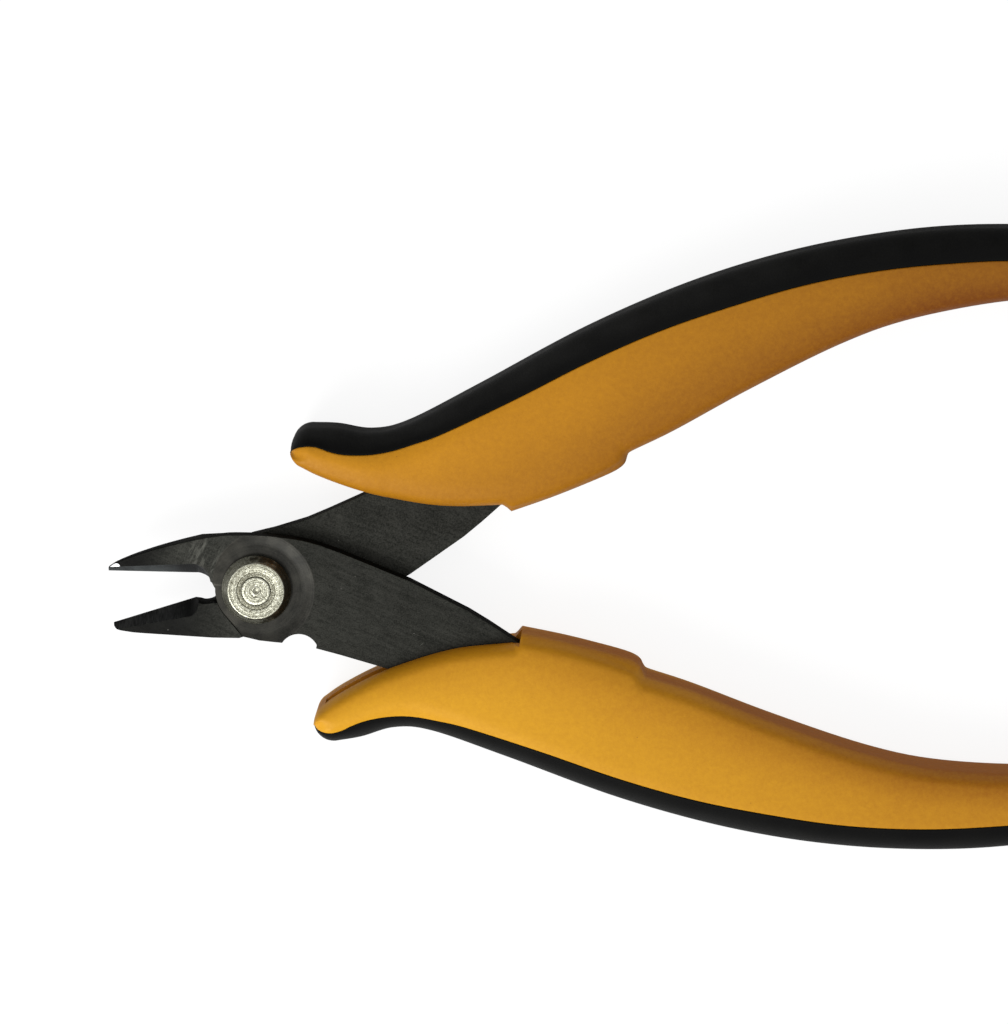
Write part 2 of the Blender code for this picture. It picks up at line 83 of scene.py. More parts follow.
FRONT_JAW = {
    "edge_tip": (-TIP_REACH, 2.93),
    "edge_root": (-7.6, 1.84),
    "throat": [(-6.9, 1.8), (-6.4, 1.65), (-5.9, 1.5)],
    "bevel_run_out": [
        (-7.2, 0.0), (-6.75, 0.12), (-6.25, 0.42), (-5.85, 0.85), (-5.63, 1.2), (-5.42, 2.0),
    ],
    "back": [
        (-17.45, 3.5), (-16.4, 4.05), (-14.4, 4.72), (-12.4, 5.24), (-10.9, 5.58), (-8.7, 6.0),
        (-6.2, 6.4),
    ],
    "hub_top": [(-4.3, 6.62), (-2.6, 6.7)],
    "heel": (-3.2, 6.3),
    "notched": True,
}
BACK_JAW = {
    "edge_tip": (-17.55, 3.34),
    "edge_root": (-7.6, 1.12),
    "throat": [(-7.0, 1.25), (-6.5, 1.42), (-5.9, 1.4)],
    "bevel_run_out": [(-8.2, 0.0), (-7.9, 0.06), (-7.6, 0.24), (-7.3, 0.6), (-7.05, 1.2)],
    "back": [
        (-17.5, 3.64), (-17.2, 3.92), (-16.7, 4.13), (-15.97, 4.29), (-14.6, 4.53), (-9.9, 5.07),
        (-5.7, 5.55),
    ],
    "hub_top": [(-3.0, 5.78), (-1.5, 6.15)],
    "heel": (-2.6, 5.75),
    "notched": False,
}
THROAT_END = [(-5.33, 1.2), (-5.1, 0.75), (-4.92, 0.38)]  # runs down to the hub
THROAT_CORNER = (-5.3, 1.36)  # where the jaw's round recess cuts the throat short
BEVEL_WIDTH = 1.64

HUB_TOP = [(0.5, 6.45), (3.3, 6.05), (5.8, 5.5), (8.0, 4.75)]
ARM_INNER = [(10.2, 3.75), (18.1, -0.2), (24.8, -4.3), (27.0, -5.9), (30.2, -8.4)]
TANG_INNER = [(38.0, -12.6), (50.0, -19.0), (62.0, -24.0), (74.0, -27.6), (82.0, -29.0)]
TANG_OUTER = [(82.0, -31.5), (74.0, -30.9), (62.0, -28.6), (50.0, -25.4), (36.0, -20.2), (24.0, -14.6)]
ARM_OUTER = [(14.4, -10.5), (9.2, -8.55), (6.42, -7.58)]
NOTCH_CENTRE = (4.35, -8.05)
NOTCH_RADIUS = 2.35
HUB_BOTTOM = [(2.46, -6.64), (-0.2, -6.2)]
HUB_CORNER_REACH = 3.4

GUARD_CENTRE = (7.9, 16.5)
GUARD_RADIUS = 2.4
END_RADIUS = 5.0
END_CENTRE = (HANDLE_REACH - END_RADIUS, 27.0)
GRIP_OUTER = [(7.9, 18.9), (11.0, 18.6), (15.0, 17.75), (19.4, 18.5), (28.0, 22.25), (41.2, 28.25)]
GRIP_OUTER += [(54.2, 32.8), (66.9, 35.65), (80.0, 36.95), (92.0, 36.6), (104.0, 34.9), (116.4, 31.9)]
GRIP_INNER = [(6.25, 14.75), (8.5, 13.3), (12.3, 11.5), (16.5, 10.05), (22.7, 8.65), (29.8, 8.35)]
LUMP = [(30.7, 7.35), (35.5, 8.7), (39.8, 10.1), (42.6, 11.1), (43.9, 11.75), (44.5, 12.35)]
LUMP += [(44.72, 13.0), (44.95, 13.5), (45.5, 13.8)]
SOFT_LUMP = [(30.0, 8.0), (36.0, 9.1), (40.5, 10.9), (45.0, 13.1)]  # the face's own line, without steps
LUMP_POCKET = [(28.9, -6.2), (31.05, -6.2), (30.5, -8.5), (29.7, -8.4)]  # beside the arm's mouth
GRIP_INNER_REAR = [(50.8, 15.9), (59.5, 20.0), (70.4, 24.6), (78.9, 27.0), (90.0, 28.3), (97.0, 27.7)]
GRIP_INNER_REAR += [(105.0, 25.6), (114.0, 22.2)]
OVERLAY_EDGE = [(5.5, 16.35), (5.9, 16.8), (6.7, 17.15), (7.8, 17.25), (9.0, 17.0), (10.0, 16.55)]
OVERLAY_EDGE += [(11.6, 16.05), (13.4, 15.8), (15.4, 15.75), (17.6, 16.0), (20.2, 16.65), (23.7, 17.7)]
OVERLAY_EDGE += [(32.4, 21.2), (41.1, 24.95), (49.6, 28.05), (58.0, 30.35), (66.6, 32.25), (75.0, 33.3)]
OVERLAY_EDGE += [(83.2, 33.6), (92.0, 33.3), (104.0, 31.5), (113.0, 29.2), (120.5, 26.9)]
INNER_ROUND = 3.6  # the face's broad fall towards the inner edge, and how deep it goes
INNER_FALL = 1.3
EDGE_ROUND = 1.3  # the tighter rounding of the edge itself
EDGE_FALL = 1.8
OUTER_ROUND = 4.2
CROWN = 0.55  # how much lower the orange face is at its inner edge than at the overlay
SEAM_GAP = 0.04
SEAM_ROUND = 0.16
SLOT_GAP = 0.12

SLEEVE_RADIUS = 2.5
HEAD_RADIUS = 4.1
HEAD_TOP = 3.0
HEAD_FACE = 3.28
SLEEVE_END = -4.05
PIN_RADIUS = 1.15
PIN_BORE = 1.22
PIN_HEAD = 1.7
PIN_GAP = 0.08
WASHER_RADIUS = 4.4
WASHER_THICK = 0.5
PEEN_RADIUS = 2.3
PEEN_END = -5.2
# turned steps: radius (for the rim, from HEAD_FACE) and depth below HEAD_TOP
RIM_STEPS = [(0.12, 0.16), (0.05, 0.05), (-0.05, 0.0), (-0.14, 0.0), (-0.2, 0.06)]
RIM_STEPS += [(-0.27, 0.06), (-0.33, 0.01)]
HEAD_STEPS = [(2.42, 0.0), (2.3, 0.02), (2.2, 0.13), (2.02, 0.13), (1.98, 0.07), (1.9, 0.07), (1.86, 0.14)]
PIN_STEPS = [(1.28, 0.0), (1.22, 0.05), (1.12, 0.05), (1.06, 0.0), (0.8, 0.0), (0.74, 0.06)]
PIN_STEPS += [(0.62, 0.07), (0.54, 0.01), (0.4, 0.0), (0.3, 0.08), (0.0, 0.16)]

WIRE = 0.7
COIL_RADIUS = 3.6
LEG_HOLE = (14.6, 8.8)
LEG_HOLE_RADIUS = 0.55
LEG_HOLE_DEPTH = 1.4
UPPER_LEG_Z = -2.45
LOWER_LEG_Z = -3.65
HOOK_BEND = 0.8
SEGMENTS = 128  # of a turned body

# ---- view and light, in metres and watts ----

CAMERA_AIM = (29.7246, 6.9223)  # in millimetres from the pivot
CAMERA_DISTANCE = 0.6
CAMERA_LENS = 179.296875
CAMERA_TURN = math.radians(-4.36)
CAMERA_SIDE_TILT = math.radians(2.29)
CAMERA_UP_TILT = math.radians(11.67)
FLOOR_HALF = 3.0
FLOOR_Z = -0.00005
FLOOR_BASE = 0.16
FLOOR_GLOW = 0.87
HORIZON_DARK = 0.12
HORIZON_BRIGHT = 0.6
ZENITH = 0.95
LAMP_PLACE = (-0.18, -0.15, 0.22)
LAMP_AIM = (-0.02, 0.0, 0.0)
LAMP_SIZE = 0.16
LAMP_POWER = 0.58

# painted sheen streaks near the front half's jaw root, and a worn chip at its tip, in millimetres round the
# pivot
JAW_SHEEN_PLACE = (-6.2, 4.3, 2.0)
TIP_CHIP = (-16.75, 3.74, 0.8)


# ---- camera ----


def add_camera():
    """A long lens above the tool, leaning towards the upper handle, with the tool slightly turned."""
    target = PIVOT + Vector((*CAMERA_AIM, 0.0)) * MM
    roll = Matrix.Rotation(CAMERA_TURN, 3, "Z")
    back = Vector((
        math.sin(CAMERA_SIDE_TILT),
        math.sin(CAMERA_UP_TILT) * math.cos(CAMERA_SIDE_TILT),
        math.cos(CAMERA_UP_TILT) * math.cos(CAMERA_SIDE_TILT),
    ))
    right = Vector((math.cos(CAMERA_SIDE_TILT), 0.0, -math.sin(CAMERA_SIDE_TILT)))
    right = (right - back * right.dot(back)).normalized()
    up = back.cross(right)
    right, up, back = roll @ right, roll @ up, roll @ back
    data = bpy.data.cameras.new("camera")
    data.sensor_width = 36.0
    data.lens = CAMERA_LENS
    data.clip_start = 0.01
    camera = bpy.data.objects.new("camera", data)
    turn = Matrix((right, up, back)).transposed().to_4x4()
    camera.matrix_world = Matrix.Translation(target + back * CAMERA_DISTANCE) @ turn
    bpy.context.scene.collection.objects.link(camera)
    bpy.context.scene.camera = camera


# ---- outlines ----


def arc(centre, radius, start, end, steps):
    angles = [start + (end - start) * k / steps for k in range(steps + 1)]
    return [(centre[0] + radius * math.cos(a), centre[1] + radius * math.sin(a)) for a in angles]


def angle_at(centre, point):
    """The direction from a centre to a point."""
    return math.atan2(point[1] - centre[1], point[0] - centre[0])


def smooth(knots, steps):
    """A Catmull-Rom curve through the knots, with the same number of steps in each span."""
    ends = [Vector(knots[0]) * 2 - Vector(knots[1]), Vector(knots[-1]) * 2 - Vector(knots[-2])]
    path = [ends[0]] + [Vector(k) for k in knots] + [ends[1]]
    points = []
    for a, b, c, d in zip(path, path[1:], path[2:], path[3:]):
        for k in range(steps):
            t = k / steps
            p = 2 * b + (c - a) * t + (2 * a - 5 * b + 4 * c - d) * t**2 + (3 * b - 3 * c + d - a) * t**3
            points.append(tuple(p * 0.5))
    points.append(tuple(knots[-1]))
    return points


def offset(points, distance):
    """An open line of points moved to its left by a distance."""
    moved = []
    for i, point in enumerate(points):
        before = Vector(points[max(i - 1, 0)])
        after = Vector(points[min(i + 1, len(points) - 1)])
        along = (after - before).normalized()
        moved.append((point[0] - along.y * distance, point[1] + along.x * distance))
    return moved


def inset(outline, distance):
    """A closed outline moved inwards by a small distance, with mitred corners."""
    points = np.array(outline)
    after = np.roll(points, -1, axis=0)
    area = np.sum(points[:, 0] * after[:, 1] - after[:, 0] * points[:, 1])
    along = after - points
    along /= np.linalg.norm(along, axis=1)[:, None]
    inward = np.stack([-along[:, 1], along[:, 0]], axis=1) * (1.0 if area > 0.0 else -1.0)
    before = np.roll(inward, 1, axis=0)
    share = 1.0 + np.sum(inward * before, axis=1)
    move = (inward + before) / np.maximum(share, 0.5)[:, None]
    return [tuple(p) for p in points + move * distance]


def height_on(points, x):
    """Y at x on a line of points whose x rises."""
    line = np.array(points)
    return float(np.interp(x, line[:, 0], line[:, 1]))


# ---- mesh building ----


def new_object(name, points, faces, turned_over=False):
    """A mesh object from points in millimetres round the pivot; turned over about X for the back half."""
    sign = -1.0 if turned_over else 1.0
    mesh = bpy.data.meshes.new(name)
    placed = [(PIVOT.x + x * MM, PIVOT.y + sign * y * MM, PIVOT.z + sign * z * MM) for x, y, z in points]
    mesh.from_pydata(placed, [], faces)
    obj = bpy.data.objects.new(name, mesh)
    bpy.context.scene.collection.objects.link(obj)
    bm = bmesh.new()
    bm.from_mesh(mesh)
    bmesh.ops.recalc_face_normals(bm, faces=bm.faces)
    bm.to_mesh(mesh)
    bm.free()
    return obj


def skin(name, rings, turned_over=False):
    """A body through rings with the same number of points, capped at both ends."""
    size = len(rings[0])
    points = [point for ring in rings for point in ring]
    faces = [tuple(range(size)), tuple(range(len(points) - size, len(points)))]
    for row in range(len(rings) - 1):
        a = row * size
        b = a + size
        for k in range(size):
            m = (k + 1) % size
            faces.append((a + k, a + m, b + m, b + k))
    return new_object(name, points, faces, turned_over)


def slab(name, outline, low, high, round_low=0.0, round_high=0.0, turned_over=False):
    """A plate with an outline, whose long edges can be rounded."""
    steps = 3
    turn = [math.pi / 2.0 * k / steps for k in range(steps + 1)]
    levels = []
    for a in turn if round_low else turn[:1]:
        levels.append((round_low * (1.0 - math.sin(a)), low + round_low * (1.0 - math.cos(a))))
    for a in turn if round_high else turn[:1]:
        levels.append((round_high * (1.0 - math.cos(a)), high - round_high * (1.0 - math.sin(a))))
    rings = []
    for distance, z in levels:
        line = inset(outline, distance) if distance > 0.0 else outline
        rings.append([(x, y, z) for x, y in line])
    return skin(name, rings, turned_over)


def turned(name, profile, turned_over=False):
    """A closed body turned round Z from a closed loop of (radius, z); on the axis the radius is 0."""
    points = []
    rings = []
    for radius, z in profile:
        if radius == 0.0:
            rings.append([len(points)] * SEGMENTS)
            points.append((0.0, 0.0, z))
            continue
        rings.append(list(range(len(points), len(points) + SEGMENTS)))
        for k in range(SEGMENTS):
            angle = 2.0 * math.pi * k / SEGMENTS
            points.append((radius * math.cos(angle), radius * math.sin(angle), z))
    faces = []
    for a, b in zip(rings, rings[1:] + rings[:1]):
        for k in range(SEGMENTS):
            m = (k + 1) % SEGMENTS
            corners = list(dict.fromkeys((a[k], a[m], b[m], b[k])))
            if len(corners) > 2:
                faces.append(tuple(corners))
    return new_object(name, points, faces, turned_over)


def wedge(name, points, turned_over):
    """A convex cutter round its corner points."""
    obj = new_object(name, points, [], turned_over)
    bm = bmesh.new()
    bm.from_mesh(obj.data)
    bmesh.ops.convex_hull(bm, input=bm.verts)
    bmesh.ops.recalc_face_normals(bm, faces=bm.faces)
    bm.to_mesh(obj.data)
    bm.free()
    return obj


def apply_modifiers(obj):
    bpy.context.view_layer.update()
    evaluated = obj.evaluated_get(bpy.context.evaluated_depsgraph_get())
    mesh = bpy.data.meshes.new_from_object(evaluated)
    obj.modifiers.clear()
    old = obj.data
    obj.data = mesh
    bpy.data.meshes.remove(old)


def combine(obj, other, operation, slot_index=0):
    """Joins or cuts with other at once, and removes it; new faces take the material slot given."""
    for _ in range(len(obj.data.materials)):
        other.data.materials.append(None)
    for polygon in other.data.polygons:
        polygon.material_index = slot_index
    modifier = obj.modifiers.new(operation.lower(), "BOOLEAN")
    modifier.operation = operation
    modifier.solver = "EXACT"
    modifier.object = other
    apply_modifiers(obj)
    bpy.data.objects.remove(other)


def cut_slab(obj, outline, low, high, turned_over):
    """Cuts an opening with straight walls."""
    combine(obj, slab("cutter", outline, low, high, turned_over=turned_over), "DIFFERENCE")


def finish_mesh(obj, sharp_degrees=35.0):
    """Merges doubled points, shades smooth and keeps flat faces flat."""
    bm = bmesh.new()
    bm.from_mesh(obj.data)
    bmesh.ops.remove_doubles(bm, verts=bm.verts, dist=2e-7)
    bmesh.ops.dissolve_degenerate(bm, edges=bm.edges, dist=1e-7)
    bm.to_mesh(obj.data)
    bm.free()
    obj.data.shade_smooth()
    obj.data.set_sharp_from_angle(angle=math.radians(sharp_degrees))
    modifier = obj.modifiers.new("normals", "WEIGHTED_NORMAL")
    modifier.mode = "FACE_AREA"
    modifier.weight = 80
    modifier.keep_sharp = True
    apply_modifiers(obj)


def finish_piece(obj, node, body):
    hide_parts(node)
    if body:
        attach(obj, body)


# ---- steel halves ----


def hub_edge(stand_off, end):
    """The hub's lower left edge: straight from its corner, then round about the pivot to the end angle."""
    start = -HUB_TANGENT
    leave = (HUB_RADIUS * math.cos(start), HUB_RADIUS * math.sin(start))
    along = (-math.sin(start), math.cos(start))
    corner = (leave[0] + along[0] * HUB_CORNER_REACH, leave[1] + along[1] * HUB_CORNER_REACH)
    shift = (stand_off * math.cos(start), stand_off * math.sin(start))
    straight = [(corner[0] + shift[0], corner[1] + shift[1])]
    return straight + arc((0.0, 0.0), HUB_RADIUS + stand_off, start, end, 24)


def notch():
    start = angle_at(NOTCH_CENTRE, ARM_OUTER[-1])
    end = angle_at(NOTCH_CENTRE, HUB_BOTTOM[0])
    return arc(NOTCH_CENTRE, NOTCH_RADIUS, start, end, 14)[1:-1]


def tang_outline(grow):
    inner = offset(smooth([ARM_INNER[-1]] + TANG_INNER, 4), grow)
    outer = offset(smooth(TANG_OUTER + [ARM_OUTER[0]], 4), grow)
    middle = ((inner[-1][0] + outer[0][0]) / 2.0, (inner[-1][1] + outer[0][1]) / 2.0)
    radius = (inner[-1][1] - outer[0][1]) / 2.0
    end = arc(middle, radius, math.radians(80.0), math.radians(-80.0), 6)
    return inner, end, outer


def plate_outline(jaw):
    inner, end, outer = tang_outline(0.0)
    top = smooth(jaw["back"] + jaw["hub_top"] + HUB_TOP, 5)
    bottom = ARM_OUTER[1:] + (notch() if jaw["notched"] else []) + HUB_BOTTOM
    throat = smooth([jaw["edge_root"]] + jaw["throat"] + THROAT_END, 4)[::-1]
    outline = [jaw["edge_tip"]] + top + ARM_INNER[:-1] + inner + end + outer + bottom
    return outline + hub_edge(0.0, -math.pi) + throat


def jaw_outline(jaw):
    relief = hub_edge(RELIEF_RADIUS - HUB_RADIUS, RELIEF_SWEEP - math.pi)
    recess = [(x, -y) for x, y in relief]
    top = smooth(jaw["back"], 5) + [jaw["heel"]]
    throat = smooth([jaw["edge_root"]] + jaw["throat"] + [THROAT_CORNER], 4)[::-1]
    return [jaw["edge_tip"]] + top + recess + throat


def jaw_half(x):
    slope = (PLATE_FRONT - JAW_TIP_HALF) / (TIP_REACH + TAPER_START)
    return JAW_TIP_HALF + slope * (x + TIP_REACH)


def taper(obj):
    """Thins the jaw towards its tip on both faces."""
    bm = bmesh.new()
    bm.from_mesh(obj.data)
    start = PIVOT.x + TAPER_START * MM
    geometry = bm.verts[:] + bm.edges[:] + bm.faces[:]
    bmesh.ops.bisect_plane(bm, geom=geometry, plane_co=(start, 0, 0), plane_no=(1, 0, 0), dist=1e-7)
    for vert in bm.verts:
        x = (vert.co.x - PIVOT.x) / MM
        if x < TAPER_START:
            vert.co.z = PIVOT.z + (vert.co.z - PIVOT.z) * jaw_half(x) / PLATE_FRONT
    bm.to_mesh(obj.data)
    bm.free()


def bevel_cutter(name, jaw, side, turned_over):
    """Grinds the bevel along the cutting edge, with a short rounded run-out at the root."""
    tip = jaw["edge_tip"]
    root = jaw["edge_root"]
    slope = (root[1] - tip[1]) / (root[0] - tip[0])
    lean = BEVEL_WIDTH / (2.0 * jaw_half(root[0]))
    points = []
    for x, drop in [(tip[0] - 2.0, 0.0)] + jaw["bevel_run_out"]:
        y = tip[1] + slope * (x - tip[0]) - drop
        half = jaw_half(x)
        for z in (-half, half + 1.0):
            points.append((x, y + lean * (z + half), side * z))
            points.append((x, y - 3.0, side * z))
    return wedge(name, points, turned_over)


def dish_cutter(name, turned_over):
    """A shallow turned recess whose wall rises in a soft S."""
    profile = [(0.0, DISH_FLOOR)]
    depth = PLATE_FRONT - DISH_FLOOR
    for k in range(11):
        share = k / 10
        radius = DISH_RADIUS + DISH_RISE * (share - 0.7)
        profile.append((radius, DISH_FLOOR + depth * (0.5 - 0.5 * math.cos(math.pi * share)) * 1.02))
    profile += [(DISH_RADIUS + DISH_RISE, PLATE_FRONT + 1.2), (0.0, PLATE_FRONT + 1.2)]
    return turned(name, profile, turned_over)


def leg_hole(from_front):
    circle = arc((LEG_HOLE[0], -LEG_HOLE[1]), LEG_HOLE_RADIUS, 0.0, 2.0 * math.pi, 32)[:-1]
    if from_front:
        return circle, PLATE_FRONT - LEG_HOLE_DEPTH, PAST_PLATE
    return circle, PLATE_BACK - 1.0, PLATE_BACK + LEG_HOLE_DEPTH


def make_blade(name, jaw, bevel_side, materials, turned_over):
    outline = plate_outline(jaw)
    blade = slab(name, outline, PLATE_BACK, PLATE_FRONT, 0.05, EDGE_BREAK, turned_over)
    for material in materials:
        blade.data.materials.append(material)
    top = PLATE_BACK + 0.6
    block = slab(name + "_block", jaw_outline(jaw), -PLATE_FRONT, top, EDGE_BREAK, 0.0, turned_over)
    combine(blade, block, "UNION")
    taper(blade)
    combine(blade, bevel_cutter(name + "_bevel", jaw, bevel_side, turned_over), "DIFFERENCE", 1)
    combine(blade, dish_cutter(name + "_dish", turned_over), "DIFFERENCE", 2)
    bore = arc((0.0, 0.0), BORE_RADIUS, 0.0, 2.0 * math.pi, 96)[:-1]
    cut_slab(blade, bore, -1.0, PAST_PLATE, turned_over)
    cut_slab(blade, *leg_hole(turned_over), turned_over)
    finish_mesh(blade)
    return blade


# ---- grips ----


def outer_edge():
    """The grip's outer edge as a line of points from the guard's tip to the handle's end."""
    guard = arc(GUARD_CENTRE, GUARD_RADIUS, math.pi, math.pi / 2.0, 20)
    end = arc(END_CENTRE, END_RADIUS, angle_at(END_CENTRE, GRIP_OUTER[-1]), 0.0, 20)
    return guard[:-1] + smooth(GRIP_OUTER, 12)[:-1] + end


def inner_edge(soft=False):
    """The inner edge, likewise; soft leaves out the lump's steps, as the broad face does."""
    guard_low = angle_at(GUARD_CENTRE, GRIP_INNER[0])
    guard = arc(GUARD_CENTRE, GUARD_RADIUS, math.pi, guard_low + 2.0 * math.pi, 16)[:-1]
    end = arc(END_CENTRE, END_RADIUS, angle_at(END_CENTRE, GRIP_INNER_REAR[-1]), 0.0, 20)
    if soft:
        return guard + smooth(GRIP_INNER[:-1] + SOFT_LUMP + GRIP_INNER_REAR, 10) + end[1:]
    rear = smooth([LUMP[-1]] + GRIP_INNER_REAR, 12)[1:-1]
    return guard + smooth(GRIP_INNER, 10) + smooth(LUMP, 6) + rear + end


def distance_to(line, points):
    """Distance of each point to a line of points."""
    line = np.array(line)
    points = np.array(points)
    start = line[:-1]
    along = line[1:] - start
    length = np.maximum(np.sum(along**2, axis=1), 1e-12)
    away = points[:, None, :] - start[None, :, :]
    share = np.clip(np.sum(away * along[None], axis=2) / length[None], 0.0, 1.0)
    gap = away - share[..., None] * along[None]
    return np.sqrt(np.min(np.sum(gap**2, axis=2), axis=1))


def stations():
    """X of each section: close together at the two ends, at the guard and at the lump's steps."""
    tip = GUARD_CENTRE[0] - GUARD_RADIUS
    guard = [tip + 0.004]
    guard += [tip + GUARD_RADIUS * (1.0 - math.cos(math.pi / 2.0 * k / 14)) for k in range(1, 14)]
    front = list(np.arange(GUARD_CENTRE[0], 20.0, 0.5)) + list(np.arange(20.0, 29.2, 0.9))
    step = list(np.arange(29.3, 31.2, 0.16))
    lump = list(np.arange(31.8, 43.0, 0.9)) + list(np.arange(43.2, 46.2, 0.12))
    rear = list(np.arange(46.8, END_CENTRE[0], 1.3))
    end = [END_CENTRE[0] + END_RADIUS * math.sin(math.pi / 2.0 * k / 14) for k in range(14)]
    return guard + front + step + lump + rear + end + [HANDLE_REACH - 0.004]


def spaced(start, stop, steps):
    return [start + (stop - start) * k / steps for k in range(steps)]


def core_ys(low, border):
    """Y across the orange core's face, close together in the rounded edge and at the seam."""
    wide = min(EDGE_ROUND * 1.4, (border - low) * 0.45)
    ys = [low + wide * (1.0 - math.cos(math.pi / 2.0 * k / 10)) for k in range(10)]
    seam = min(SEAM_ROUND, (border - low) * 0.1)
    ys += spaced(low + wide, border - seam, 14)
    return ys + [border - seam, border - seam * 0.6, border - seam * 0.25, border]


def overlay_ys(border, high):
    seam = min(SEAM_ROUND, (high - border) * 0.1)
    ys = [border, border + seam * 0.25, border + seam * 0.6]
    wide = (high - border - seam) * 0.85
    ys += spaced(border + seam, high - wide, 4)
    return ys + [high - wide * (1.0 - math.sin(math.pi / 2.0 * k / 14)) for k in range(15)]


def drop(distance, radius):
    """How far a rounded edge has fallen at a distance from it: 1 at the edge, 0 a radius away."""
    near = 1.0 - min(1.0, max(0.0, distance / radius))
    return 1.0 - math.sqrt(1.0 - near**2)


def grip_heights(x, ys, low, high, border, lines):
    """Half of the thickness at each y of a section."""
    outer_line, inner_line, soft_line = lines
    points = [(x, y) for y in ys]
    from_outer = distance_to(outer_line, points)
    from_inner = distance_to(inner_line, points)
    from_soft = distance_to(soft_line, points)
    soft_low = height_on(soft_line, x)
    share = min(1.0, (high - low) / (INNER_ROUND + OUTER_ROUND))
    heights = []
    for y, d_out, d_in, d_soft in zip(ys, from_outer, from_inner, from_soft):
        d_soft = d_soft if y > soft_low else 0.0
        inner = INNER_FALL * drop(d_soft, INNER_ROUND * share) + EDGE_FALL * drop(d_in, EDGE_ROUND * share)
        rise = GRIP_HALF - max(inner, OUTER_ROUND * drop(d_out, OUTER_ROUND * share))
        sink = CROWN * max(0.0, (border - y) / max(border - soft_low, 0.1)) ** 2 * share**3
        from_seam = abs(y - border)
        groove = max(0.0, 1.0 - from_seam / SEAM_ROUND) ** 2 * SEAM_ROUND * 0.8
        heights.append(max(0.4, rise - sink - groove))
    return heights


def grip_rings(part):
    outer = outer_edge()
    inner = inner_edge()
    lines = (outer, inner, inner_edge(soft=True))
    border_line = smooth(OVERLAY_EDGE, 6)
    rings = []
    for x in stations():
        low = height_on(inner, x)
        high = height_on(outer, x)
        margin = min(0.3 * (high - low), 0.6)
        border = min(max(height_on(border_line, x), low + margin), high - margin)
        if part == "core":
            ys = core_ys(low, border - SEAM_GAP / 2.0)
        else:
            ys = overlay_ys(border + SEAM_GAP / 2.0, high)
        heights = grip_heights(x, ys, low, high, border, lines)
        front = [(x, -y, z) for y, z in zip(ys, heights)]
        edge = front[0] if part == "core" else front[-1]
        wall = [(edge[0], edge[1], edge[2] * s) for s in (0.6, 0.2, -0.2, -0.6)]
        back = [(x, -y, -z) for y, z in zip(reversed(ys), reversed(heights))]
        if part == "core":
            rings.append(front + back + wall[::-1])
        else:
            rings.append(front + wall + back)
    return rings


def slot_outline():
    """The space that the arm takes in the grip, open towards the jaws."""
    inner, end, outer = tang_outline(SLOT_GAP)
    mouth_inner = offset(ARM_INNER, SLOT_GAP)[:-1]
    mouth_outer = offset(ARM_OUTER[:2], SLOT_GAP)
    return mouth_inner + inner + end + outer + mouth_outer[1:]


def guard_groove():
    """A shallow groove that carries the slot on round the guard's inner side."""
    line = [p for p in smooth(GRIP_INNER, 6) if 6.9 < p[0] < 17.5]
    deep = [(x, -y) for x, y in offset(line, 0.75)]
    out = [(x, -y) for x, y in offset(line, -1.2)]
    return deep + out[::-1]


def shade_attribute(obj, name, edge, way, turned_over):
    """Stores how far each point lies from the seam (0) towards an edge (1), which way 1 or -1 tells."""
    border_line = smooth(OVERLAY_EDGE, 6)
    sign = 1.0 if turned_over else -1.0
    values = []
    for vert in obj.data.vertices:
        x = (vert.co.x - PIVOT.x) / MM
        y = sign * (vert.co.y - PIVOT.y) / MM
        border = height_on(border_line, x)
        reach = max(way * (height_on(edge, x) - border), 0.5)
        values.append(min(1.0, max(0.0, way * (y - border) / reach)))
    attribute = obj.data.attributes.new(name, "FLOAT", "POINT")
    attribute.data.foreach_set("value", values)


def make_core(name, material, turned_over):
    core = skin(name, grip_rings("core"), turned_over)
    core.data.materials.append(material)
    low = PLATE_BACK - SLOT_GAP
    high = PLATE_FRONT + SLOT_GAP
    cut_slab(core, slot_outline(), low, high, turned_over)
    cut_slab(core, guard_groove(), low, high, turned_over)
    pocket = [(x, y, z) for x, y in LUMP_POCKET for z in (-0.02, GRIP_HALF + 1.0)]
    combine(core, wedge(name + "_pocket", pocket, turned_over), "DIFFERENCE")
    finish_mesh(core, 40.0)
    shade_attribute(core, "inward", inner_edge(soft=True), -1.0, turned_over)
    return core


def make_overlay(name, material, turned_over):
    overlay = skin(name, grip_rings("overlay"), turned_over)
    overlay.data.materials.append(material)
    finish_mesh(overlay, 40.0)
    shade_attribute(overlay, "outward", outer_edge(), 1.0, turned_over)
    return overlay


# ---- pivot and spring ----


